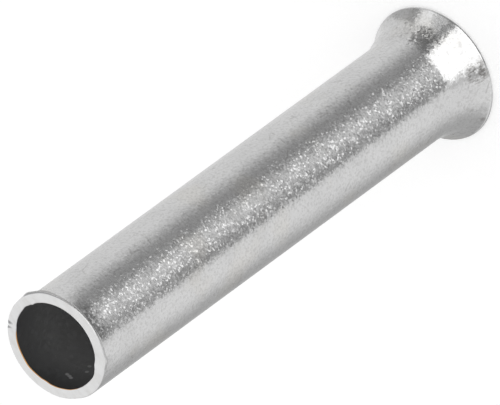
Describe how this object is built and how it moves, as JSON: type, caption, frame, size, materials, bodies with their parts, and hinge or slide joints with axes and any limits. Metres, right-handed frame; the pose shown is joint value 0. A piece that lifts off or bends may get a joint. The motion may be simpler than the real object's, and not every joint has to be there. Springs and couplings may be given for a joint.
{
  "type": "wire ferrule",
  "caption": "Thin straight metal sleeve with a trumpet-flared mouth and a plain sheared end, slipped over a stripped stranded wire and crimped before it goes into a terminal.",
  "frame": {"origin": "centre of the plane of the flared mouth's rim, on which the ferrule stands", "axes": "+Z along the tube's axis, from the flared mouth up to the cut end; +X towards the heavier side of the burr on the cut end"},
  "size_m": [0.0042, 0.0042, 0.018],
  "materials": {
    "tin_plate": "satin tin plate on copper"
  },
  "bodies": {
    "root": {"ferrule": "tin_plate"}
  },
  "joints": []
}
